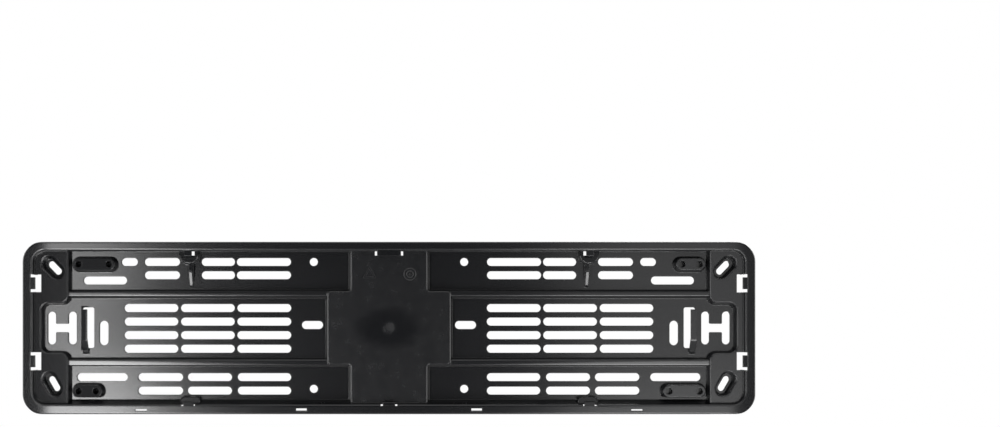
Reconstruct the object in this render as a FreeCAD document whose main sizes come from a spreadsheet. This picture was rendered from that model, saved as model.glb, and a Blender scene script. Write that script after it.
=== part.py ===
import FreeCAD, Part
import math
import os
import re
import Sketcher

# A holder for a standard long number plate: one black injection moulding that is screwed to a bumper.
# It stands upright as on the car: X runs along it, Z is up, and the plate's side looks towards -Y.
# The origin is the middle of the rear face. A level is a distance in front of that face, along -Y.
# Sizes are in millimetres and degrees. Places on the right half are given, and the left half mirrors them.

SIZES = {
    # The plate and its play in the opening inside the rim.
    "plate_length": 520.0,
    "plate_height": 110.0,
    "play_across": 1.0,
    "play_up": 1.15,
    # The rim around the opening.
    "side_rim": 7.9,
    "top_rim": 6.2,
    "bottom_rim": 7.9,
    "rim_level": 13.0,
    "outline_radius": 14.5,
    "opening_radius": 9.0,
    "rim_draft": 2.0,
    "rim_round": 1.2,
    "rim_outer_wall": 2.0,
    "rim_inner_wall": 1.6,
    # The floor, the seats that the plate rests on, and the skin left over the rear hollows.
    "floor_level": 2.2,
    "seat_level": 8.6,
    "seat_draft": 14.0,
    "seat_chamfer": 0.6,
    "ridge_chamfer": 0.5,
    "seat_root": 2.0,
    "skin": 2.0,
    "hollow_margin": 0.4,
    # The end seats and the arm of floor that runs into each.
    "end_seat_width": 24.7,
    "arm_end_gap": 4.8,
    "arm_half_height": 18.6,
    "arm_mouth_radius": 5.0,
    "arm_end_radius": 6.0,
    # The cross-shaped centre seat.
    "stem_width": 56.2,
    "crossbar_width": 90.6,
    "crossbar_height": 54.0,
    "crossbar_radius": 2.4,
    # The long ridges between the floors.
    "ridge_level": 6.6,
    "ridge_centre": 25.1,
    "ridge_width": 4.2,
    "ridge_hollow_width": 3.6,
    # The slots in the floor.
    "slot_width": 5.9,
    "grid_start": 72.45,
    "grid_slot_length": 40.0,
    "grid_web": 1.8,
    "grid_row_pitch": 10.05,
    "grid_drop": 0.3,
    "grid_margin": 8.0,
    "grid_rows": 4,
    "top_row_drop": 8.1,
    "top_row_pitch": 9.8,
    "bottom_row_rise": 8.9,
    "bottom_row_pitch": 10.0,
    # The round holes and oblongs for screws beside the centre seat.
    "screw_hole_across": 111.4,
    "screw_hole_radius": 3.0,
    "lower_screw_rise": 10.2,
    "side_oblong_across": 113.4,
    "side_oblong_up": 2.2,
    "side_oblong_length": 15.6,
    # The features by the end seats: places are measured inwards from the seat's edge.
    "upright_oblong_inset": 25.3,
    "upright_oblong_length": 18.2,
    "upright_oblong_width": 6.6,
    "upright_oblong_drop": 3.7,
    "outer_slot_inset": 26.2,
    "outer_slot_length": 32.2,
    "outer_slot_drop": 21.8,
    "short_slot_inset": 44.3,
    "short_slot_length": 12.0,
    "lower_slot_inset": 24.1,
    "lower_slot_length": 37.5,
    # The tapped bosses in the outer corners of the upper and lower floors.
    "boss_radius": 4.2,
    "boss_inset": 7.9,
    "boss_long_spacing": 22.3,
    "boss_short_spacing": 12.8,
    "boss_drop": 10.0,
    "boss_rise": 8.8,
    "boss_hole_radius": 2.45,
    "boss_hole_depth": 5.4,
    # The spring tongue in its window, which presses the plate against the hooks.
    "tongue_inset": 12.2,
    "tongue_width": 4.3,
    "tongue_thickness": 1.5,
    "tongue_root_drop": 21.0,
    "tongue_bend_drop": 9.0,
    "tongue_tip_up": 13.7,
    "tongue_level": 9.4,
    "tongue_window_width": 8.7,
    "tongue_window_shift": 1.55,
    "tongue_window_top": 15.3,
    "tongue_window_bottom": 14.8,
    # The H-shaped slot in each arm.
    "letter_inset": 19.1,
    "letter_width": 21.4,
    "letter_height": 24.3,
    "letter_leg": 6.1,
    "letter_bar": 6.1,
    "letter_round": 0.9,
    "letter_leg_round": 2.9,
    # The slanted screw wells in the corners of the end seats.
    "well_length": 19.2,
    "well_width": 11.2,
    "well_slot_length": 12.0,
    "well_slot_width": 5.0,
    "upper_well_inset": 13.8,
    "upper_well_drop": 12.5,
    "upper_well_angle": 46.0,
    "lower_well_inset": 13.3,
    "lower_well_rise": 14.1,
    "lower_well_angle": 60.0,
    # The hooks over the plate's edge, each in front of a window that frees it in the mould.
    "hook_back_level": 10.4,
    "hook_level": 12.5,
    "hook_overlap": 1.2,
    "side_window_width": 7.0,
    "side_window_length": 13.1,
    "side_hook_length": 8.7,
    "side_hook_reach": 1.5,
    "upper_side_hook_up": 32.8,
    "lower_side_hook_up": -24.4,
    "side_window_bite": 1.8,
    "upper_window_gap": 0.2,
    "upper_hook_reach": 4.2,
    "upper_window_reach": 3.7,
    "lower_hook_reach": 1.6,
    "lower_window_bite": 1.8,
    "top_hook_width": 17.6,
    "top_window_width": 20.8,
    "bottom_hook_width": 9.0,
    "bottom_window_width": 12.2,
    "outer_hook_across": 147.4,
    "outer_hook_width": 5.4,
    "outer_hook_overlap": 2.4,
    "outer_window_width": 6.9,
    "outer_window_shift": 0.95,
    "lower_outer_hook_across": 147.0,
    "lower_outer_hook_width": 7.4,
    "lower_outer_window_width": 10.3,
    "lower_outer_window_shift": 0.45,
    # The pads under the outer hooks, and the gusset under each upper one.
    "hook_pad_width": 14.0,
    "hook_pad_drop": 9.4,
    "hook_pad_radius": 6.3,
    "hook_pad_draft": 6.0,
    "lower_pad_across": 146.3,
    "lower_pad_width": 14.2,
    "lower_pad_rise": 4.6,
    "lower_pad_radius": 3.5,
    "gusset_across": 146.2,
    "gusset_thickness": 2.4,
    "gusset_level": 8.0,
    "gusset_flat": 6.7,
    "gusset_slope": 11.0,
    # The drain windows in the lower rim.
    "drain_rise": 3.3,
    "inner_drain_across": 64.2,
    "inner_drain_width": 7.8,
    "inner_drain_height": 2.1,
    "outer_drain_across": 181.6,
    "outer_drain_width": 8.5,
    "outer_drain_height": 1.0,
}

# Slots of the upper and lower floors: the inner end of each, measured from the middle, and its length.
TOP_SLOTS = {"top_slot_one": (72.6, 40.2), "top_slot_two": (114.1, 24.7), "top_slot_three": (154.8, 26.2)}
BOTTOM_SLOTS = {"low_slot_one": (72.5, 39.6), "low_slot_two": (116.3, 32.8), "low_slot_three": (152.5, 33.2)}
for slot_name, (start, length) in {**TOP_SLOTS, **BOTTOM_SLOTS}.items():
    SIZES[slot_name + "_start"] = start
    SIZES[slot_name + "_length"] = length

# Lines that several features share, as formulas on the sizes.
OPENING_END = "(plate_length / 2 + play_across)"
OUTLINE_END = f"({OPENING_END} + side_rim)"
OUTLINE_TOP = "((plate_height + 2 * play_up + top_rim + bottom_rim) / 2)"
OPENING_TOP = f"({OUTLINE_TOP} - top_rim)"
OPENING_BOTTOM = f"(bottom_rim - {OUTLINE_TOP})"
SEAT_EDGE = f"({OPENING_END} - end_seat_width)"
ARM_END = f"({OPENING_END} - arm_end_gap)"
TOP_ROW = f"({OPENING_TOP} - top_row_drop)"
BOTTOM_ROW = f"({OPENING_BOTTOM} + bottom_row_rise)"

doc = FreeCAD.newDocument("plate_holder")
sheet = doc.addObject("Spreadsheet::Sheet", "sizes")
for row, (name, number) in enumerate(SIZES.items(), start=1):
    sheet.set(f"A{row}", name)
    sheet.set(f"B{row}", str(number))
    sheet.setAlias(f"B{row}", name)
doc.recompute()

body = doc.addObject("PartDesign::Body", "holder")
body.Label = "plate_holder"


def formula(text):
    """The formula with each size written as a cell of the sheet."""
    return re.sub(r"[a-z_]+", lambda word: "sizes." + word[0] if word[0] in SIZES else word[0], str(text))


def value(text):
    """What a formula gives now."""
    return float(sheet.evalExpression(formula(text)))


def origin_plane(role):
    return next(item for item in body.Origin.OriginFeatures if item.Role == role)


def sketch_at(name, offset, plane="XZ_Plane"):
    """A sketch facing the plate's side at a level, or with plane YZ_Plane a side view at a place along X."""
    sketch = body.newObject("Sketcher::SketchObject", name)
    sketch.AttachmentSupport = [(origin_plane(plane), "")]
    sketch.MapMode = "FlatFace"
    sketch.setExpression("AttachmentOffset.Base.z", formula(offset))
    return sketch


def rule(kind, *places, size=None):
    """A constraint, and the formula that it is bound to where it has a size."""
    numbers = [] if size is None else [value(size)]
    return Sketcher.Constraint(kind, *places, *numbers), size


def pin(geometry, point, across, up):
    """The rules that hold a point of the geometry at a place in the sketch."""
    return [rule("DistanceX", -1, 1, geometry, point, size=across),
            rule("DistanceY", -1, 1, geometry, point, size=up)]


def constrain(sketch, rules):
    """Add the rules to the sketch, each bound to its formula."""
    indices = sketch.addConstraint([constraint for constraint, size in rules])
    for index, (constraint, size) in zip(indices, rules):
        if size is not None:
            sketch.setExpression(f"Constraints[{index}]", formula(size))


def outline(sketch, corners):
    """A closed outline, drawn anticlockwise through corners of (across, up) or (across, up, radius)."""
    points = [FreeCAD.Vector(value(corner[0]), value(corner[1]), 0) for corner in corners]
    radii = [corner[2] if len(corner) > 2 else None for corner in corners]
    count = len(corners)
    cuts = []
    for index, radius in enumerate(radii):
        before = (points[index - 1] - points[index]).normalize()
        after = (points[(index + 1) % count] - points[index]).normalize()
        half_angle = before.getAngle(after) / 2
        back = value(radius) / math.tan(half_angle) if radius else 0.0
        cuts.append((points[index] + before * back, points[index] + after * back, before, after, half_angle))
    lines = [sketch.addGeometry(Part.LineSegment(cuts[index][1], cuts[(index + 1) % count][0]))
             for index in range(count)]
    rules = []
    for index, radius in enumerate(radii):
        line_in = lines[index - 1]
        line_out = lines[index]
        if not radius:
            rules.append(rule("Coincident", line_in, 2, line_out, 1))
            rules += pin(line_out, 1, *corners[index][:2])
            continue
        first, last, before, after, half_angle = cuts[index]
        centre = points[index] + (before + after).normalize() * (value(radius) / math.sin(half_angle))
        turns_left = (before * -1).cross(after).z > 0
        ends = (first, last) if turns_left else (last, first)
        angles = [math.atan2(end.y - centre.y, end.x - centre.x) for end in ends]
        circle = Part.Circle(centre, FreeCAD.Vector(0, 0, 1), value(radius))
        arc = sketch.addGeometry(Part.ArcOfCircle(circle, angles[0], angles[1]))
        entry, leave = (1, 2) if turns_left else (2, 1)
        corner = sketch.addGeometry(Part.Point(points[index]), True)
        rules += [rule("Tangent", line_in, 2, arc, entry), rule("Tangent", arc, leave, line_out, 1),
                  rule("Radius", arc, size=radius),
                  rule("PointOnObject", corner, 1, line_in), rule("PointOnObject", corner, 1, line_out)]
        rules += pin(corner, 1, *corners[index][:2])
    constrain(sketch, rules)


def box(sketch, left, right, bottom, top, radius=None):
    """A rectangle between four lines, with rounded corners where it has a radius."""
    rest = (radius,) if radius else ()
    outline(sketch, [(left, bottom, *rest), (right, bottom, *rest), (right, top, *rest), (left, top, *rest)])


def oblong(sketch, across, up, length, width, angle=0):
    """A round-ended slot about a middle, turned by an angle from the X axis."""
    reach = f"(({length}) - ({width})) / 2"
    ends = [(f"{across} + {sign} * {reach} * cos({angle})", f"{up} + {sign} * {reach} * sin({angle})")
            for sign in (1, -1)]
    right, left = [FreeCAD.Vector(value(x), value(y), 0) for x, y in ends]
    radius = value(width) / 2
    along = (right - left).normalize()
    side = FreeCAD.Vector(-along.y, along.x, 0) * radius
    heading = math.atan2(along.y, along.x)
    quarter = math.pi / 2
    lower = sketch.addGeometry(Part.LineSegment(left - side, right - side))
    upper = sketch.addGeometry(Part.LineSegment(right + side, left + side))
    ends_of_slot = []
    for centre, start in ((right, heading - quarter), (left, heading + quarter)):
        circle = Part.Circle(centre, FreeCAD.Vector(0, 0, 1), radius)
        ends_of_slot.append(sketch.addGeometry(Part.ArcOfCircle(circle, start, start + math.pi)))
    far, near = ends_of_slot
    constrain(sketch, [
        rule("Tangent", lower, 2, far, 1), rule("Tangent", far, 2, upper, 1),
        rule("Tangent", upper, 2, near, 1), rule("Tangent", near, 2, lower, 1),
        rule("Equal", far, near), rule("Radius", far, size=f"({width}) / 2"),
        *pin(far, 3, *ends[0]), *pin(near, 3, *ends[1]),
    ])


def round_hole(sketch, across, up, radius):
    place = FreeCAD.Vector(value(across), value(up), 0)
    circle = sketch.addGeometry(Part.Circle(place, FreeCAD.Vector(0, 0, 1), value(radius)))
    constrain(sketch, [rule("Radius", circle, size=radius), *pin(circle, 3, across, up)])


def feature(kind, name, sketch, length=None, front=False, draft=None):
    """A pad or pocket from a sketch to the front or the rear, through all where it has no length.

    Its walls draw in by the draft with the distance from the sketch, or spread where the draft is negative.
    """
    item = body.newObject("PartDesign::" + kind, name)
    item.Refine = False
    item.Profile = sketch
    if length is None:
        item.Type = "ThroughAll"
    else:
        item.setExpression("Length", formula(length))
    item.Reversed = front == (kind == "Pocket")
    if draft is not None:
        item.setExpression("TaperAngle", formula(f"-({draft})"))
    doc.recompute()
    return item


def rows(name, original, count, pitch):
    """Copies of a feature, one above the other."""
    item = body.newObject("PartDesign::LinearPattern", name)
    item.Originals = [original]
    item.Refine = False
    item.Direction = (origin_plane("Z_Axis"), [""])
    item.Mode = "Spacing"
    item.setExpression("Occurrences", formula(count))
    item.setExpression("Offset", formula(pitch))
    body.Tip = item
    doc.recompute()


def soften(kind, name, size, wanted):
    """A fillet or a chamfer on the edges of the last feature that the test picks."""
    base = body.Tip
    names = [f"Edge{number}" for number, edge in enumerate(base.Shape.Edges, start=1) if wanted(edge)]
    item = body.newObject("PartDesign::" + kind, name)
    item.Base = (base, names)
    item.setExpression("Radius" if kind == "Fillet" else "Size", formula(size))
    doc.recompute()


def at_level(edge, level):
    """Whether the whole edge lies at a level."""
    return all(abs(point.y + value(level)) < 1e-4 for point in edge.discretize(5))


def is_seat_edge(edge):
    """Whether an edge is a free upper edge of a seat, and not its seam with the rim or the cut at the mirror."""
    middle = edge.discretize(3)[1]
    clear = value("rim_level * tan(rim_draft) + 0.1")
    by_corner = middle.x > value(SEAT_EDGE) + clear and (
        middle.z > value(f"{OPENING_TOP} - opening_radius") - clear
        or middle.z < value(f"{OPENING_BOTTOM} + opening_radius") + clear)
    by_rim = (middle.x > value(OPENING_END) - clear
              or middle.z > value(OPENING_TOP) - clear or middle.z < value(OPENING_BOTTOM) + clear)
    by_mirror = middle.x < clear
    return at_level(edge, "seat_level") and not (by_corner or by_rim or by_mirror)


# The blank and its opening: a flat tray inside a rim, drafted to leave the mould.
blank_sketch = sketch_at("blank_sketch", 0)
box(blank_sketch, f"-{OUTLINE_END}", OUTLINE_END, f"-{OUTLINE_TOP}", OUTLINE_TOP, "outline_radius")
feature("Pad", "blank", blank_sketch, "rim_level", front=True, draft="rim_draft")

opening_sketch = sketch_at("opening_sketch", "rim_level")
box(opening_sketch, f"-{OPENING_END}", OPENING_END, OPENING_BOTTOM, OPENING_TOP, "opening_radius")
feature("Pocket", "opening", opening_sketch, "rim_level - floor_level", draft="rim_draft")
soften("Fillet", "rim_edges", "rim_round", lambda edge: at_level(edge, "rim_level"))

# The centre seat is a cross of a stem and a wider bar. Two long ridges run from it to the end seat.
STEM = "(stem_width / 2)"
BAR = "(crossbar_width / 2)"
BAR_TOP = "(crossbar_height / 2)"
ridge_sketch = sketch_at("ridge_sketch", "ridge_level")
for low, high in (("ridge_centre - ridge_width / 2", "ridge_centre + ridge_width / 2"),
                  ("-ridge_centre - ridge_width / 2", "ridge_width / 2 - ridge_centre")):
    box(ridge_sketch, f"{BAR} - seat_root", f"{SEAT_EDGE} + seat_root", low, high)
feature("Pad", "ridges", ridge_sketch, "ridge_level - floor_level / 2", draft="-seat_draft")
soften("Chamfer", "ridge_edges", "ridge_chamfer",
       lambda edge: at_level(edge, "ridge_level") and abs(edge.tangentAt(0).x) > 0.5)

# The centre seat stands over the ridges' ends, and its stem is rooted in the floor and in the rim.
ROOT_END = f"({OPENING_END} + seat_root)"
ROOT_TOP = f"({OPENING_TOP} + seat_root)"
ROOT_BOTTOM = f"({OPENING_BOTTOM} - seat_root)"
SEAT_DEPTH = "(seat_level - floor_level / 2)"
centre_seat_sketch = sketch_at("centre_seat_sketch", "seat_level")
right_side = [
    (STEM, ROOT_BOTTOM),
    (STEM, f"-{BAR_TOP}", "crossbar_radius"),
    (BAR, f"-{BAR_TOP}", "crossbar_radius"),
    (BAR, BAR_TOP, "crossbar_radius"),
    (STEM, BAR_TOP, "crossbar_radius"),
    (STEM, ROOT_TOP),
]
outline(centre_seat_sketch, right_side + [(f"-{across}", *rest) for across, *rest in right_side[::-1]])
feature("Pad", "centre_seat", centre_seat_sketch, SEAT_DEPTH, draft="-seat_draft")

# Only the right half goes on from here, up to the mirror.
half_sketch = sketch_at("half_sketch", "rim_level")
box(half_sketch, f"-2 * {OUTLINE_END}", 0, f"-2 * {OUTLINE_TOP}", f"2 * {OUTLINE_TOP}")
feature("Pocket", "left_half_off", half_sketch)

# The end seat is C-shaped around its arm of floor, rooted in the floor and in the rim.
end_seat_sketch = sketch_at("end_seat_sketch", "seat_level")
outline(end_seat_sketch, [
    (SEAT_EDGE, ROOT_BOTTOM),
    (ROOT_END, ROOT_BOTTOM, "opening_radius"),
    (ROOT_END, ROOT_TOP, "opening_radius"),
    (SEAT_EDGE, ROOT_TOP),
    (SEAT_EDGE, "arm_half_height", "arm_mouth_radius"),
    (ARM_END, "arm_half_height", "arm_end_radius"),
    (ARM_END, "-arm_half_height", "arm_end_radius"),
    (SEAT_EDGE, "-arm_half_height", "arm_mouth_radius"),
])
feature("Pad", "end_seat", end_seat_sketch, SEAT_DEPTH, draft="-seat_draft")

# A round pad under the outer top hook, and a lower one above the outer bottom hook.
PAD_LEFT = "(outer_hook_across - hook_pad_width / 2)"
PAD_RIGHT = "(outer_hook_across + hook_pad_width / 2)"
PAD_BOTTOM = f"({OPENING_TOP} - hook_pad_drop)"
LOW_PAD_LEFT = "(lower_pad_across - lower_pad_width / 2)"
LOW_PAD_RIGHT = "(lower_pad_across + lower_pad_width / 2)"
LOW_PAD_TOP = f"({OPENING_BOTTOM} + lower_pad_rise)"
hook_pad_sketch = sketch_at("hook_pad_sketch", "seat_level")
outline(hook_pad_sketch, [
    (PAD_LEFT, PAD_BOTTOM, "hook_pad_radius"),
    (PAD_RIGHT, PAD_BOTTOM, "hook_pad_radius"),
    (PAD_RIGHT, ROOT_TOP),
    (PAD_LEFT, ROOT_TOP),
])
outline(hook_pad_sketch, [
    (LOW_PAD_LEFT, ROOT_BOTTOM),
    (LOW_PAD_RIGHT, ROOT_BOTTOM),
    (LOW_PAD_RIGHT, LOW_PAD_TOP, "lower_pad_radius"),
    (LOW_PAD_LEFT, LOW_PAD_TOP, "lower_pad_radius"),
])
feature("Pad", "hook_pads", hook_pad_sketch, SEAT_DEPTH, draft="-hook_pad_draft")
soften("Chamfer", "seat_edges", "seat_chamfer", is_seat_edge)

# The rear is hollowed to an even wall: behind the rim, the seats and the ridges.
CHANNEL_END = f"({OUTLINE_END} - rim_outer_wall)"
CHANNEL_TOP = f"({OUTLINE_TOP} - rim_outer_wall)"
WALL_END = f"({OPENING_END} + rim_inner_wall)"
WALL_TOP = f"({OPENING_TOP} + rim_inner_wall)"
WALL_BOTTOM = f"({OPENING_BOTTOM} - rim_inner_wall)"
channel_sketch = sketch_at("channel_sketch", 0)
box(channel_sketch, f"-{CHANNEL_END}", CHANNEL_END, f"-{CHANNEL_TOP}", CHANNEL_TOP, "outline_radius - rim_outer_wall")
box(channel_sketch, f"-{WALL_END}", WALL_END, WALL_BOTTOM, WALL_TOP, "opening_radius + rim_inner_wall")
feature("Pocket", "rim_channel", channel_sketch, "rim_level - skin", front=True, draft="rim_draft")

HOLLOW_END = f"({OPENING_END} - hollow_margin)"
HOLLOW_TOP = f"({OPENING_TOP} - hollow_margin)"
HOLLOW_BOTTOM = f"({OPENING_BOTTOM} + hollow_margin)"
HOLLOW_START = f"({SEAT_EDGE} + skin)"
HOLLOW_RADIUS = "(opening_radius - hollow_margin)"
seat_hollow_sketch = sketch_at("seat_hollow_sketch", 0)
outline(seat_hollow_sketch, [
    (HOLLOW_START, "arm_half_height + skin"), (HOLLOW_END, "arm_half_height + skin"),
    (HOLLOW_END, HOLLOW_TOP, HOLLOW_RADIUS), (HOLLOW_START, HOLLOW_TOP)])
outline(seat_hollow_sketch, [
    (HOLLOW_START, HOLLOW_BOTTOM), (HOLLOW_END, HOLLOW_BOTTOM, HOLLOW_RADIUS),
    (HOLLOW_END, "-(arm_half_height + skin)"), (HOLLOW_START, "-(arm_half_height + skin)")])
box(seat_hollow_sketch, f"{ARM_END} + skin", HOLLOW_END, "-arm_half_height", "arm_half_height")
box(seat_hollow_sketch, "skin / 2", f"{BAR} - skin", f"skin - {BAR_TOP}", f"{BAR_TOP} - skin")
box(seat_hollow_sketch, f"{PAD_LEFT} + skin", f"{PAD_RIGHT} - skin", f"{PAD_BOTTOM} + skin", HOLLOW_TOP)
for low, high in ((BAR_TOP, HOLLOW_TOP), (HOLLOW_BOTTOM, f"-{BAR_TOP}")):
    box(seat_hollow_sketch, "-skin", f"{STEM} - skin", low, high)
feature("Pocket", "seat_hollows", seat_hollow_sketch, "seat_level - skin", front=True)

ridge_hollow_sketch = sketch_at("ridge_hollow_sketch", 0)
for low, high in (("ridge_centre - ridge_hollow_width / 2", "ridge_centre + ridge_hollow_width / 2"),
                  ("-ridge_centre - ridge_hollow_width / 2", "ridge_hollow_width / 2 - ridge_centre")):
    box(ridge_hollow_sketch, f"{BAR} + skin", f"{SEAT_EDGE} - skin", low, high)
feature("Pocket", "ridge_hollows", ridge_hollow_sketch, "ridge_level - skin", front=True, draft="seat_draft")

# The screw wells: a cup stands up from the floor inside the end seat's hollow, with a through slot in its floor.
wells = (
    (f"({OPENING_END} - upper_well_inset)", f"({OPENING_TOP} - upper_well_drop)", "upper_well_angle"),
    (f"({OPENING_END} - lower_well_inset)", f"({OPENING_BOTTOM} + lower_well_rise)", "lower_well_angle"),
)
cup_sketch = sketch_at("cup_sketch", 0)
well_sketch = sketch_at("well_sketch", "seat_level")
for across, up, angle in wells:
    oblong(cup_sketch, across, up, "well_length + 2 * skin", "well_width + 2 * skin", angle)
    oblong(well_sketch, across, up, "well_length", "well_width", angle)
feature("Pad", "well_cups", cup_sketch, "seat_level - skin / 2", front=True)
feature("Pocket", "wells", well_sketch, "seat_level - floor_level", draft="seat_draft")


def is_well_edge(edge):
    """Whether an edge is a well's upper edge."""
    middle = edge.discretize(3)[1]
    distance = min(math.hypot(middle.x - value(across), middle.z - value(up)) for across, up, angle in wells)
    return at_level(edge, "seat_level") and distance < value("(well_length + skin) / 2")


soften("Chamfer", "well_edges", "seat_chamfer", is_well_edge)

# The leaf of the spring tongue, which rises from the lower edge of its window.
TONGUE = f"({SEAT_EDGE} - tongue_inset)"
LEAF_BACK = "(tongue_level - tongue_thickness)"
TONGUE_WINDOW = f"({TONGUE} - tongue_window_shift)"
tongue_window_sketch = sketch_at("tongue_window_sketch", "floor_level")
box(tongue_window_sketch, f"{TONGUE_WINDOW} - tongue_window_width / 2", f"{TONGUE_WINDOW} + tongue_window_width / 2",
    "-tongue_window_bottom", "tongue_window_top", "tongue_thickness")
feature("Pocket", "tongue_window", tongue_window_sketch)
leaf_sketch = sketch_at("leaf_sketch", f"{TONGUE} - tongue_width / 2", "YZ_Plane")
outline(leaf_sketch, [
    ("-tongue_level", "-tongue_bend_drop", "2 * tongue_thickness"),
    ("-floor_level / 2", "-tongue_root_drop"),
    ("-floor_level / 2", "tongue_thickness - tongue_root_drop"),
    (f"-{LEAF_BACK}", "tongue_thickness - tongue_bend_drop", "tongue_thickness"),
    (f"-{LEAF_BACK}", "tongue_tip_up"),
    ("-tongue_level", "tongue_tip_up", "tongue_thickness / 2"),
])
feature("Pad", "leaf", leaf_sketch, "tongue_width", front=True)

# The gusset that stiffens the round hook pad and slopes down to the floor.
gusset_sketch = sketch_at("gusset_sketch", "gusset_across - gusset_thickness / 2", "YZ_Plane")
outline(gusset_sketch, [
    ("-floor_level / 2", f"{PAD_BOTTOM} + skin"),
    ("-gusset_level", f"{PAD_BOTTOM} + skin"),
    ("-gusset_level", f"{PAD_BOTTOM} - gusset_flat"),
    ("-floor_level", f"{PAD_BOTTOM} - gusset_flat - gusset_slope"),
    ("-floor_level / 2", f"{PAD_BOTTOM} - gusset_flat - gusset_slope"),
])
feature("Pad", "gusset", gusset_sketch, "gusset_thickness", front=True)

# The hooks over the plate's edge: a window through seat and rim frees each one in the mould, and its tab
# stands in front. Each line gives the window's and the tab's left, right, lower and upper limits.
UPPER_WINDOW = (f"{OPENING_TOP} - upper_window_reach", f"{OPENING_TOP} - upper_window_gap")
UPPER_TAB = (f"{OPENING_TOP} - upper_hook_reach", f"{OPENING_TOP} + hook_overlap")
LOWER_WINDOW = (f"{OPENING_BOTTOM} - lower_window_bite", OPENING_BOTTOM)
LOWER_TAB = (f"{OPENING_BOTTOM} - lower_window_bite - hook_overlap", f"{OPENING_BOTTOM} + lower_hook_reach")


def span(middle, width):
    return f"{middle} - {width} / 2", f"{middle} + {width} / 2"


hooks = [
    ((*span("(outer_hook_across - outer_window_shift)", "outer_window_width"), *UPPER_WINDOW),
     (*span("outer_hook_across", "outer_hook_width"), UPPER_TAB[0], f"{OPENING_TOP} + outer_hook_overlap")),
    ((*span("(lower_outer_hook_across + lower_outer_window_shift)", "lower_outer_window_width"), *LOWER_WINDOW),
     (*span("lower_outer_hook_across", "lower_outer_hook_width"), *LOWER_TAB)),
    (("-skin", "top_window_width / 2", *UPPER_WINDOW), ("0", "top_hook_width / 2", *UPPER_TAB)),
    (("-skin", "bottom_window_width / 2", *LOWER_WINDOW), ("0", "bottom_hook_width / 2", *LOWER_TAB)),
]
for middle in ("upper_side_hook_up", "lower_side_hook_up"):
    hooks.append((
        (f"{OPENING_END} + side_window_bite - side_window_width", f"{OPENING_END} + side_window_bite",
         *span(middle, "side_window_length")),
        (f"{OPENING_END} - side_hook_reach", f"{OPENING_END} + side_window_bite + hook_overlap",
         *span(middle, "side_hook_length"))))
window_sketch = sketch_at("window_sketch", "rim_level")
tab_sketch = sketch_at("tab_sketch", "hook_back_level")
for window, tab in hooks:
    box(window_sketch, *window)
    box(tab_sketch, *tab)

# The drain windows in the lower rim are cut with them.
for drain in ("inner_drain", "outer_drain"):
    box(window_sketch, *span(drain + "_across", drain + "_width"),
        *span(f"(drain_rise - {OUTLINE_TOP})", drain + "_height"))
feature("Pocket", "hook_windows", window_sketch)
feature("Pad", "hook_tabs", tab_sketch, "hook_level - hook_back_level", front=True)

# The single slots and screw holes in the floor, and the slots in the wells.
hole_sketch = sketch_at("hole_sketch", "floor_level")
for up in (TOP_ROW, f"({OPENING_BOTTOM} + lower_screw_rise)"):
    round_hole(hole_sketch, "screw_hole_across / 2", up, "screw_hole_radius")
for across, up, length, width, angle in (
        ("side_oblong_across / 2", "side_oblong_up", "side_oblong_length", "slot_width", 0),
        (f"{SEAT_EDGE} - upright_oblong_inset", "-upright_oblong_drop", "upright_oblong_length",
         "upright_oblong_width", 90),
        (f"{SEAT_EDGE} - outer_slot_inset", f"{OPENING_TOP} - outer_slot_drop", "outer_slot_length", "slot_width", 0),
        (f"{SEAT_EDGE} - short_slot_inset", TOP_ROW, "short_slot_length", "slot_width", 0),
        (f"{SEAT_EDGE} - lower_slot_inset", f"{BOTTOM_ROW} + bottom_row_pitch", "lower_slot_length", "slot_width", 0)):
    oblong(hole_sketch, across, up, length, width, angle)
for across, up, angle in wells:
    oblong(hole_sketch, across, up, "well_slot_length", "well_slot_width", angle)
feature("Pocket", "holes", hole_sketch)

# The H-shaped slot in the arm.
LETTER = f"({OPENING_END} - letter_inset)"
upper_half = [
    (f"{LETTER} + letter_width / 2", "letter_height / 2", "letter_leg_round"),
    (f"{LETTER} + letter_width / 2 - letter_leg", "letter_height / 2", "letter_leg_round"),
    (f"{LETTER} + letter_width / 2 - letter_leg", "letter_bar / 2", "letter_round"),
    (f"{LETTER} - letter_width / 2 + letter_leg", "letter_bar / 2", "letter_round"),
    (f"{LETTER} - letter_width / 2 + letter_leg", "letter_height / 2", "letter_leg_round"),
    (f"{LETTER} - letter_width / 2", "letter_height / 2", "letter_leg_round"),
]
letter_sketch = sketch_at("letter_sketch", "floor_level")
outline(letter_sketch, upper_half + [(across, f"-({up})", radius) for across, up, radius in upper_half[::-1]])
feature("Pocket", "letter_slot", letter_sketch)

# The grid of long slots in the middle floor, with as many columns as fit before the upright oblong.
GRID_PITCH = "(grid_slot_length + grid_web)"
GRID_LIMIT = f"({SEAT_EDGE} - upright_oblong_inset - upright_oblong_width / 2 - grid_margin)"
column_count = math.floor(value(f"({GRID_LIMIT} - grid_start + grid_web) / {GRID_PITCH}"))
grid_sketch = sketch_at("grid_sketch", "floor_level")
for column in range(column_count):
    oblong(grid_sketch, f"grid_start + grid_slot_length / 2 + {column} * {GRID_PITCH}",
           "-(grid_rows - 1) * grid_row_pitch / 2 - grid_drop", "grid_slot_length", "slot_width")
grid_row = feature("Pocket", "grid_row", grid_sketch)
rows("grid_rows_up", grid_row, "grid_rows", "grid_row_pitch")

# The two rows of slots in the upper floor and in the lower floor.
for floor_name, slots, up, pitch in (("upper", TOP_SLOTS, f"({TOP_ROW} - top_row_pitch)", "top_row_pitch"),
                                     ("lower", BOTTOM_SLOTS, BOTTOM_ROW, "bottom_row_pitch")):
    row_sketch = sketch_at(floor_name + "_row_sketch", "floor_level")
    for slot_name in slots:
        oblong(row_sketch, f"{slot_name}_start + {slot_name}_length / 2", up, f"{slot_name}_length", "slot_width")
    row = feature("Pocket", floor_name + "_row", row_sketch)
    rows(floor_name + "_rows", row, 2, pitch)

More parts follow.
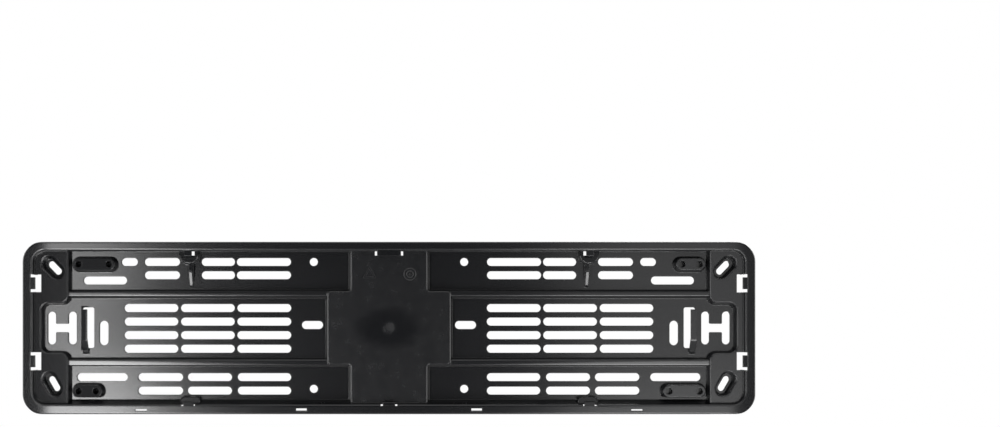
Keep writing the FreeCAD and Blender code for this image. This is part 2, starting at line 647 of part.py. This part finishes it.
# The left half mirrors the right half.
whole = body.newObject("PartDesign::Mirrored", "whole")
whole.TransformMode = "Whole shape"
whole.MirrorPlane = (origin_plane("YZ_Plane"), [""])
body.Tip = whole
doc.recompute()

# Four bosses, each with two blind holes: long at the upper left and lower right, short at the other corners.
BOSS_OUTER = f"({SEAT_EDGE} - boss_inset)"
UPPER_BOSS = f"({OPENING_TOP} - boss_drop)"
LOWER_BOSS = f"({OPENING_BOTTOM} + boss_rise)"
boss_sketch = sketch_at("boss_sketch", "seat_level")
boss_hole_sketch = sketch_at("boss_hole_sketch", "seat_level")
for side, up, spacing in ((-1, UPPER_BOSS, "boss_long_spacing"), (1, UPPER_BOSS, "boss_short_spacing"),
                          (-1, LOWER_BOSS, "boss_short_spacing"), (1, LOWER_BOSS, "boss_long_spacing")):
    oblong(boss_sketch, f"{side} * ({BOSS_OUTER} - {spacing} / 2)", up, f"{spacing} + 2 * boss_radius",
           "2 * boss_radius")
    for along in (BOSS_OUTER, f"({BOSS_OUTER} - {spacing})"):
        round_hole(boss_hole_sketch, f"{side} * {along}", up, "boss_hole_radius")
feature("Pad", "bosses", boss_sketch, SEAT_DEPTH, draft="-seat_draft")
feature("Pocket", "boss_holes", boss_hole_sketch, "boss_hole_depth")

for item in doc.Objects:
    if "Invalid" in item.State or "Error" in item.State:
        raise RuntimeError(f"{item.Name} failed: {item.State}")
shape = body.Shape
if shape.isNull() or not shape.isValid() or len(shape.Solids) != 1:
    raise RuntimeError("the holder isn't one valid solid")

os.makedirs("parts", exist_ok=True)
shape.exportStep(os.path.join("parts", body.Label + ".step"))
bounds = shape.optimalBoundingBox(True, False)
print(f"{body.Label}: {bounds.XLength:.1f} x {bounds.YLength:.1f} x {bounds.ZLength:.1f} mm, "
      f"{shape.Volume / 1000:.1f} cm3, {len(shape.Faces)} faces")
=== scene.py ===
import math

import bmesh
import bpy
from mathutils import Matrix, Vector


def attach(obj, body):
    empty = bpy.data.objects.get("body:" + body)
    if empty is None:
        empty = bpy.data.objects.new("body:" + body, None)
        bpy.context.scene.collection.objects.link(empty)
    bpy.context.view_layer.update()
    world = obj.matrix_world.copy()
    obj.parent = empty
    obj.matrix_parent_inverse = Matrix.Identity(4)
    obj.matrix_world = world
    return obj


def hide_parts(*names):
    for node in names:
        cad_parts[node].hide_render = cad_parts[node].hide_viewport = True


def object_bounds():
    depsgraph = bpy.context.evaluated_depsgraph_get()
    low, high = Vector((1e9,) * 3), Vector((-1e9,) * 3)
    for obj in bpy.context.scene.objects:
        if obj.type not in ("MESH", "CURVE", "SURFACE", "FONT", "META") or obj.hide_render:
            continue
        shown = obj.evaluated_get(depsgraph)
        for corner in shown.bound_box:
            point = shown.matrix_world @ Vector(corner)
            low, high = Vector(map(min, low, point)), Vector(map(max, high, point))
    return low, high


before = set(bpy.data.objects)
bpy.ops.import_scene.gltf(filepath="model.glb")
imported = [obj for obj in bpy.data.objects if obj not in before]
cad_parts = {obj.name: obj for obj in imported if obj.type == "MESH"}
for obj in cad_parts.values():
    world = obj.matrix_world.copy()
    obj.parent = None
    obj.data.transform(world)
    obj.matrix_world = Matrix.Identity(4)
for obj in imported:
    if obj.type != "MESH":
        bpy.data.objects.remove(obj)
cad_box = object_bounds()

# The moulding: one shell of black plastic, moulded in a tool whose faces are polished on the tray's floor and
# finely eroded on the seats, with a small radius on every edge. All lengths are in metres, and a level is
# counted forwards from the rear face.
SMOOTH_ANGLE = math.radians(25)
FLAT_ANGLE = math.radians(0.4)
MERGE_DISTANCE = 2e-6

# The ridges are rounded beads.
RIDGE_START = 0.0445
RIDGE_CENTRE = 0.0251
RIDGE_HALF_WIDTH = 0.0024
RIDGE_TOP = 0.0066
RIDGE_DEPTH = 0.0020
TOP_MARGIN = 0.0001
SHOULDER_DEPTH = 0.0007
BEAD_LENGTH = 0.02
BEAD_FLAT = 0.65
BEAD_SHOULDER_DROP = 0.0010

# The long outer edges of the rim bulge a little.
RIM_BULGE = 0.00035
RIM_BULGE_LEVEL = 0.0087
RIM_BULGE_START = 0.0585
RIM_BULGE_WIDTH = 0.0030

# The lower long wall leans more than the others: its foot stands further in and its front edge further out. The
# windows behind the lower hooks and the round corners keep their places.
WALL_FOOT_LEVEL = 0.0022
WALL_FRONT_LEVEL = 0.0130
WALL_FOOT_SHIFT = 0.0019
WALL_FRONT_SHIFT = -0.0009
WALL_HALF_LENGTH = 0.261
WALL_LINE = 0.0553
WALL_CORNER = 0.0090
WALL_THICKNESS = 0.0030
WALL_INNER_START, WALL_INNER_WIDTH = 0.0505, 0.0033
WALL_OUTER_END, WALL_OUTER_WIDTH = 0.0590, 0.0018
WINDOW_PLACES = ((0.0, 0.010), (0.147, 0.008))
WINDOW_SILL = 0.0568


def ramp(value, start, width):
    """0 up to the start, 1 from its width onwards, and a straight rise between."""
    return min(max((value - start) / width, 0), 1)


def ridge_offset(place):
    """How far a point lies from the middle line of its ridge, or None away from the ridges' tops."""
    offset = abs(place.z) - RIDGE_CENTRE
    at_top = RIDGE_TOP - RIDGE_DEPTH < -place.y < RIDGE_TOP + TOP_MARGIN
    return offset if at_top and abs(offset) < RIDGE_HALF_WIDTH and abs(place.x) > RIDGE_START else None


def reshape(place):
    """Moves one point of the moulding to where the real one's rounded ridges and leaning wall have it."""
    offset = ridge_offset(place)
    level = -place.y
    if offset is not None and level > RIDGE_TOP - SHOULDER_DEPTH:
        if level > RIDGE_TOP - TOP_MARGIN:
            place.z += math.copysign(offset * (BEAD_FLAT - 1), place.z)
        else:
            place.y += BEAD_SHOULDER_DROP
    if level > RIM_BULGE_LEVEL:
        bulge = RIM_BULGE * ramp(abs(place.z), RIM_BULGE_START, RIM_BULGE_WIDTH)
        place.z = math.copysign(min(abs(place.z) + bulge, cad_box[1].z), place.z)
    at_window = any(abs(abs(place.x) - middle) < half for middle, half in WINDOW_PLACES)
    from_corner = math.hypot(max(abs(place.x) - WALL_HALF_LENGTH + WALL_CORNER, 0),
                             max(-place.z - WALL_LINE + WALL_CORNER, 0))
    if at_window and -place.z > WINDOW_SILL or from_corner - WALL_CORNER > WALL_THICKNESS:
        return
    height = ramp(level, WALL_FOOT_LEVEL, WALL_FRONT_LEVEL - WALL_FOOT_LEVEL)
    shift = WALL_FOOT_SHIFT + (WALL_FRONT_SHIFT - WALL_FOOT_SHIFT) * height
    near = ramp(-place.z, WALL_INNER_START, WALL_INNER_WIDTH) * ramp(place.z, -WALL_OUTER_END, WALL_OUTER_WIDTH)
    place.z += shift * near * ramp(level, 0, WALL_FOOT_LEVEL)


def merged_copy(node, name):
    """A copy of a node's loose triangles, welded, with flat faces joined and only real corners sharp."""
    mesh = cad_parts[node].data.copy()
    mesh.name = name
    mesh.materials.clear()
    work = bmesh.new()
    work.from_mesh(mesh)
    bmesh.ops.remove_doubles(work, verts=work.verts, dist=MERGE_DISTANCE)
    bmesh.ops.dissolve_limit(work, angle_limit=FLAT_ANGLE, verts=work.verts, edges=work.edges)
    beads = {edge for edge in work.edges
             if edge.calc_length() > BEAD_LENGTH and all(ridge_offset(vert.co) is not None for vert in edge.verts)}
    for vert in work.verts:
        reshape(vert.co)
    for face in work.faces:
        face.smooth = True
    for edge in work.edges:
        edge.smooth = edge.is_manifold and (edge in beads or edge.calc_face_angle(0) < SMOOTH_ANGLE)
    work.to_mesh(mesh)
    work.free()
    piece = bpy.data.objects.new(name, mesh)
    bpy.context.scene.collection.objects.link(piece)
    return piece


moulding = merged_copy("plate_holder", "moulding")
flatten = moulding.modifiers.new("flat faces stay flat", "WEIGHTED_NORMAL")
flatten.mode = "FACE_AREA"
flatten.keep_sharp = True
flatten.weight = 100


class Value:
    """A node socket that builds Math nodes when it is used in an expression."""

    def __init__(self, nodes, socket):
        self.nodes = nodes
        self.socket = socket

    def math(self, operation, *others):
        return self.nodes.node("ShaderNodeMath", {"operation": operation},
                               {0: self, **dict(enumerate(others, start=1))})

    def __add__(self, other):
        return self.math("ADD", other)

    def __sub__(self, other):
        return self.math("SUBTRACT", other)

    def __rsub__(self, other):
        return (self * -1) + other

    def __mul__(self, other):
        return self.math("MULTIPLY", other)

    __radd__ = __add__
    __rmul__ = __mul__


class Nodes:
    """The node tree of a material or a world."""

    def __init__(self, owner):
        owner.use_nodes = True
        self.tree = owner.node_tree
        self.tree.nodes.clear()

    def node(self, kind, settings=None, inputs=None, output=0):
        """A new node with its settings and the values or links of its sockets, as one of its outputs."""
        made = self.tree.nodes.new(kind)
        for key, setting in (settings or {}).items():
            setattr(made, key, setting)
        for key, given in (inputs or {}).items():
            if isinstance(given, Value):
                self.tree.links.new(given.socket, made.inputs[key])
            else:
                made.inputs[key].default_value = given
        return Value(self, made.outputs[output]) if made.outputs else made

    def parts(self, vector):
        """The X, Y and Z of a vector."""
        split = self.node("ShaderNodeSeparateXYZ", {}, {"Vector": vector})
        return [Value(self, socket) for socket in split.socket.node.outputs]

    def step(self, value, low, high):
        """0 below low, 1 above high, and a smooth rise between."""
        return self.node("ShaderNodeMapRange", {"interpolation_type": "SMOOTHSTEP"},
                         {"Value": value, "From Min": low, "From Max": high})

    def band(self, value, rise, fall):
        """1 between a rise and a fall, each a pair of limits as for a step, and 0 outside them."""
        return self.step(value, *rise) * (1 - self.step(value, *fall))

    def noise(self, place, scale, detail, roughness=0.5):
        return self.node("ShaderNodeTexNoise", {}, {"Vector": place, "Scale": scale, "Detail": detail,
                                                    "Roughness": roughness})


PLASTIC_COLOUR = (0.0055, 0.0057, 0.0064, 1)
PLASTIC_IOR = 1.5
EDGE_RADIUS = 0.0007
BEVEL_SAMPLES = 6
GRAIN_SCALE, GRAIN_STRENGTH, GRAIN_DEPTH = 2600, 0.12, 0.00002
plastic = bpy.data.materials.new("satin black plastic")
build = Nodes(plastic)
place = build.node("ShaderNodeTexCoord", output="Object")
across, depth, upright = build.parts(place)
level = depth * -1
leftwards = across * -1
reach = across.math("ABSOLUTE")
height = upright.math("ABSOLUTE")

# The zones of the surface. Each pair is where a zone begins to show and where it is fully there.
SEAT_FOOT, SEAT_TOP = (0.0080, 0.0085), (0.0096, 0.0100)
FLOOR_TOP = (0.0024, 0.0026)
END_REACH = (0.2440, 0.2620)
CORNER_HEIGHT = (0.0265, 0.0275)
END_SEAT_REACH = (0.2350, 0.2360)
INSIDE_REACH, INSIDE_HEIGHT = (0.2605, 0.2615), (0.0560, 0.0570)
on_seat = build.band(level, SEAT_FOOT, SEAT_TOP)
on_rim = build.step(level, *SEAT_TOP)
at_end = on_rim * build.step(reach, *END_REACH)
at_corner = on_seat.math("MAXIMUM", build.step(height, *CORNER_HEIGHT) * (1 - on_rim))
inside = (1 - build.step(reach, *INSIDE_REACH)) * (1 - build.step(height, *INSIDE_HEIGHT))
on_left_seat = at_corner * build.step(leftwards, *END_SEAT_REACH) * inside

BOSS_REACH = (0.1900, 0.1910), (0.2355, 0.2365)
BOSS_HEIGHT = (0.0350, 0.0360), (0.0530, 0.0535)
LEFT_SIDE = (0.0, 0.0010)
above_floor = build.step(level, *FLOOR_TOP) * (1 - on_rim)
at_boss = build.band(height, *BOSS_HEIGHT) * build.band(reach, *BOSS_REACH)
on_left_boss = above_floor * at_boss * build.step(leftwards, *LEFT_SIDE)

TONGUE_REACH = (0.2226, 0.2229), (0.2276, 0.2280)
TONGUE_HEIGHT = (0.0160, 0.0165)
at_left_tongue = build.band(leftwards, *TONGUE_REACH) * (1 - build.step(height, *TONGUE_HEIGHT))

HOOK_PLACE, HOOK_SPREAD = 0.1473, (0.0095, 0.0105)
MIDDLE_HOOK_NARROWING = 1.6
HOOK_HEIGHT = (0.0420, 0.0430), (0.0565, 0.0575)
HOOK_TOP, HOOK_PAD = (0.0088, 0.0092), (0.0075, 0.0079)
OUTER_HOOK_REACH = (0.10, 0.11)
beside_hook = (reach - HOOK_PLACE).math("ABSOLUTE").math("MINIMUM", reach * MIDDLE_HOOK_NARROWING)
at_hook = (1 - build.step(beside_hook, *HOOK_SPREAD)) * build.band(height, *HOOK_HEIGHT)
on_pad = build.step(reach, *OUTER_HOOK_REACH) * build.band(level, HOOK_PAD, HOOK_TOP)
on_hook = at_hook * build.step(level, *HOOK_TOP) + at_hook * on_pad

WALL_FACING, DOWN_FACING = (0.35, 0.65), (0.5, 0.8)
_, facing_back, facing_up = build.parts(build.node("ShaderNodeNewGeometry", output="Normal"))
on_wall = 1 - build.step(facing_back.math("ABSOLUTE"), *WALL_FACING)
on_underside = on_wall * build.step(facing_up * -1, *DOWN_FACING) * (1 - build.step(reach, *END_SEAT_REACH))

# The finish: duller seats and undersides, faint flow streaks, mottles on the centre seat, and in its middle the
# mark of the gate, a blush in a wide polished patch.
FLOOR_ROUGHNESS = 0.20
SEAT_ROUGHNESS = 0.25
GATE_ROUGHNESS = 0.13
UNDERSIDE_DULLNESS = 0.50
BLUSH_DULLNESS = 0.4
GATE_PATCH, GATE_PATCH_FLATTENING = (0.0100, 0.0300), 2.6
GATE_BLUSH = (0.0025, 0.0065)
STREAK_SCALE, STREAK_DEPTH = 55, 0.03
MOTTLE_SCALE, MOTTLE_DEPTH = 120, 0.20
CENTRE_REACH = (0.055, 0.065)
streaks = build.noise(place, STREAK_SCALE, 4, 0.6)
mottle = build.noise(place, MOTTLE_SCALE, 6, 0.75)
from_patch = (across * across + upright * upright * GATE_PATCH_FLATTENING).math("SQRT")
from_gate = (across * across + upright * upright).math("SQRT")
polished = (1 - build.step(from_patch, *GATE_PATCH)) * on_seat
blush = (1 - build.step(from_gate, *GATE_BLUSH)) * on_seat
texture = on_seat * (SEAT_ROUGHNESS - FLOOR_ROUGHNESS) + on_underside * UNDERSIDE_DULLNESS
gate = polished * (GATE_ROUGHNESS - SEAT_ROUGHNESS) + blush * mottle * BLUSH_DULLNESS
mottling = (mottle - 0.5) * on_seat * (1 - build.step(reach, *CENTRE_REACH)) * MOTTLE_DEPTH
roughness = texture + gate + (streaks - 0.5) * STREAK_DEPTH + mottling + FLOOR_ROUGHNESS

# Some flats lean in their shading and so mirror another part of the room than their neighbours. The slopes are
# fitted to the tones in the photograph, and so is the shading of the walls, which is steeper than their draft.
END_LEAN = 0.09
SEAT_LEAN = 0.14
BOSS_LEAN = 0.30
HOOK_LEAN = 0.20
WALL_STEEPNESS = 0.3
rounded = build.node("ShaderNodeBevel", {"samples": BEVEL_SAMPLES}, {"Radius": EDGE_RADIUS})
_, rounded_back, _ = build.parts(rounded)
steepness = build.step(rounded_back.math("ABSOLUTE"), *WALL_FACING) * (1 - WALL_STEEPNESS) + WALL_STEEPNESS
steepening = build.node("ShaderNodeCombineXYZ", {}, {"X": 1.0, "Y": steepness, "Z": 1.0})
steeper = build.node("ShaderNodeVectorMath", {"operation": "MULTIPLY"}, {0: rounded, 1: steepening})
end_lean = across.math("SIGN") * at_end * END_LEAN
left_lean = on_left_seat * SEAT_LEAN + (on_left_boss + at_left_tongue) * BOSS_LEAN
lean = build.node("ShaderNodeCombineXYZ", {}, {"X": end_lean - left_lean, "Z": on_hook * HOOK_LEAN})
leaning = build.node("ShaderNodeVectorMath", {"operation": "ADD"}, {0: steeper, 1: lean})
warped = build.node("ShaderNodeVectorMath", {"operation": "NORMALIZE"}, {0: leaning})
surface = build.node("ShaderNodeBump", {}, {
    "Strength": GRAIN_STRENGTH, "Distance": GRAIN_DEPTH, "Height": build.noise(place, GRAIN_SCALE, 3),
    "Normal": warped})
shader = build.node("ShaderNodeBsdfPrincipled", {}, {
    "Base Color": PLASTIC_COLOUR, "Roughness": roughness, "IOR": PLASTIC_IOR, "Normal": surface})
build.node("ShaderNodeOutputMaterial", {}, {"Surface": shader})
moulding.data.materials.append(plastic)
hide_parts("plate_holder")
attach(moulding, "root")

# The tool marks: the mould leaves a raised sorting triangle and a raised dial of two rings on the centre seat, as
# on many mouldings. They are of the same plastic, cut duller, and stand a seventh of a millimetre proud.
MARK_LEVEL = 0.0086
MARK_HEIGHT = 0.00014
MARK_LINE = 0.0007
MARK_PROFILE = ((0.5, 0), (0.25, 1), (-0.25, 1), (-0.5, 0))
MARK_ROUGHNESS = 0.42
FLECK_SCALE, FLECK_DEPTH = 1400, 0.3
TRIANGLE_PLACE = (-0.0143, 0.0396)
DIAL_PLACE = (0.0154, 0.0397)
OUTLINES = ((TRIANGLE_PLACE, 0.0056, 3), (TRIANGLE_PLACE, 0.0034, 3),
            (DIAL_PLACE, 0.0044, 40), (DIAL_PLACE, 0.0024, 32), (DIAL_PLACE, 0.0009, 3))


def raised_outline(work, middle, radius, sides):
    """Adds a raised outline with so many sides round a place on the seat; the first corner points up."""
    angles = [2 * math.pi * number / sides for number in range(sides)]
    rings = []
    for outwards, rise in MARK_PROFILE:
        distance = radius + outwards * MARK_LINE
        rings.append([work.verts.new((middle[0] + distance * math.sin(angle), -MARK_LEVEL - rise * MARK_HEIGHT,
                                      middle[1] + distance * math.cos(angle))) for angle in angles])
    for outer, inner in zip(rings, rings[1:] + rings[:1]):
        for number in range(sides):
            following = (number + 1) % sides
            work.faces.new((outer[number], inner[number], inner[following], outer[following]))


marks_mesh = bpy.data.meshes.new("tool_marks")
marks_work = bmesh.new()
for outline in OUTLINES:
    raised_outline(marks_work, *outline)
marks_work.to_mesh(marks_mesh)
marks_work.free()
marks = bpy.data.objects.new("tool_marks", marks_mesh)
bpy.context.scene.collection.objects.link(marks)
etched = bpy.data.materials.new("dull tool marks")
marking = Nodes(etched)
fleck = marking.noise(marking.node("ShaderNodeTexCoord", output="Object"), FLECK_SCALE, 3)
dull = marking.node("ShaderNodeBsdfPrincipled", {}, {
    "Base Color": PLASTIC_COLOUR, "Roughness": (fleck - 0.5) * FLECK_DEPTH + MARK_ROUGHNESS, "IOR": PLASTIC_IOR})
marking.node("ShaderNodeOutputMaterial", {}, {"Surface": dull})
marks_mesh.materials.append(etched)
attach(marks, "root")

# The studio: a dark room with a white table behind the holder, and glowing panels overhead and at both sides.
# Tall soft lamps stand before it, strong ones on the left and weaker ones on the right, and three light the rear.
ROOM_LEVEL = 0.03
TABLE_LEVEL, TABLE_EDGE = 0.15, (-0.1, 0.25)
CEILING_LEVEL, CEILING_EDGE = 1.4, (0.6, 0.75)
SIDE_LEVEL, SIDE_EDGE = 3.4, (0.8, 0.92)
WHITE = (1, 1, 1, 1)
world = bpy.data.worlds.new("studio")
bpy.context.scene.world = world
sky = Nodes(world)
sideways, towards_table, upwards = sky.parts(sky.node("ShaderNodeTexCoord", output="Generated"))
panels = sky.step(upwards, *CEILING_EDGE) * CEILING_LEVEL + sky.step(sideways.math("ABSOLUTE"), *SIDE_EDGE) * SIDE_LEVEL
ambient = sky.step(towards_table, *TABLE_EDGE) * TABLE_LEVEL + panels + ROOM_LEVEL
seen = sky.node("ShaderNodeLightPath", output="Is Camera Ray")
backdrop = sky.node("ShaderNodeBackground", {}, {"Color": WHITE, "Strength": seen + (1 - seen) * ambient})
sky.node("ShaderNodeOutputWorld", {}, {"Surface": backdrop})


def soft_lamp(name, centre, size, radiance):
    """A rectangular soft lamp that faces the holder's middle, by what it looks like in a mirror."""
    lamp = bpy.data.lights.new(name, "AREA")
    lamp.shape = "RECTANGLE"
    lamp.size, lamp.size_y = size
    lamp.energy = radiance * math.pi * size[0] * size[1]
    stand = bpy.data.objects.new(name, lamp)
    bpy.context.scene.collection.objects.link(stand)
    stand.location = centre
    stand.rotation_mode = "QUATERNION"
    stand.rotation_quaternion = stand.location.normalized().to_track_quat("Z", "Y")


soft_lamp("left_lamp", (-0.455, -1.0, -0.36), (0.20, 0.60), 19.0)
soft_lamp("upper_left_lamp", (-0.485, -1.0, 0.18), (0.18, 0.42), 6.5)
soft_lamp("lower_left_lamp", (-0.50, -1.0, -0.92), (0.24, 0.50), 14.0)
soft_lamp("left_arm_lamp", (-0.42, -1.0, -1.36), (0.16, 0.30), 12.0)
soft_lamp("right_lamp", (0.42, -1.0, -0.42), (0.34, 0.62), 4.5)
soft_lamp("upper_right_lamp", (0.46, -1.0, 0.20), (0.42, 0.60), 1.1)
soft_lamp("lower_right_lamp", (0.48, -1.0, -0.92), (0.44, 0.50), 7.0)
soft_lamp("right_arm_lamp", (0.42, -1.0, -1.36), (0.16, 0.30), 10.0)
soft_lamp("rear_lamp", (0.9, 1.6, 0.9), (1.0, 1.0), 4.0)
soft_lamp("rear_left_lamp", (0.50, 1.1, -0.40), (0.50, 0.80), 3.2)
soft_lamp("rear_right_lamp", (-0.50, 1.1, 0.30), (0.40, 0.60), 1.6)

# The floor of the studio lies well below and looks as white as the table.
FLOOR_DROP = 1.9
FLOOR_SIZE = 6.0
FLOOR_GREY = (0.5, 0.5, 0.5, 1)
half = FLOOR_SIZE / 2
floor_mesh = bpy.data.meshes.new("floor")
floor_mesh.from_pydata([(-half, -half, -FLOOR_DROP), (half, -half, -FLOOR_DROP), (half, half, -FLOOR_DROP),
                        (-half, half, -FLOOR_DROP)], [], [(0, 1, 2, 3)])
studio_floor = bpy.data.objects.new("floor", floor_mesh)
bpy.context.scene.collection.objects.link(studio_floor)
pale = bpy.data.materials.new("pale floor")
paint = Nodes(pale)
matt = paint.node("ShaderNodeBsdfDiffuse", {}, {"Color": FLOOR_GREY})
white = paint.node("ShaderNodeEmission", {}, {"Color": WHITE, "Strength": 1.0})
camera_ray = paint.node("ShaderNodeLightPath", output="Is Camera Ray")
mixed = paint.node("ShaderNodeMixShader", {}, {0: camera_ray, 1: matt, 2: white})
paint.node("ShaderNodeOutputMaterial", {}, {"Surface": mixed})
floor_mesh.materials.append(pale)

# The camera looks along +Y, square to the holder, which lies off the picture's middle, so the frame is shifted
# from the optical axis. The pixel values are places in the photograph.
PICTURE_WIDTH, PICTURE_HEIGHT = 1000, 427
AXIS_ACROSS, AXIS_DOWN = 389, 328
PIXELS_PER_METRE = 1366
CAMERA_DISTANCE = 0.95
SENSOR = 36.0
camera_data = bpy.data.cameras.new("camera")
camera_data.sensor_width = SENSOR
camera_data.lens = SENSOR * PIXELS_PER_METRE * CAMERA_DISTANCE / PICTURE_WIDTH
camera_data.shift_x = (PICTURE_WIDTH / 2 - AXIS_ACROSS) / PICTURE_WIDTH
camera_data.shift_y = (AXIS_DOWN - PICTURE_HEIGHT / 2) / PICTURE_WIDTH
camera = bpy.data.objects.new("camera", camera_data)
bpy.context.scene.collection.objects.link(camera)
rim_front = cad_box[0].y
camera.location = (0, rim_front - CAMERA_DISTANCE, 0)
camera.rotation_euler = (math.pi / 2, 0, 0)
bpy.context.scene.camera = camera
bpy.context.scene.view_settings.view_transform = "Standard"
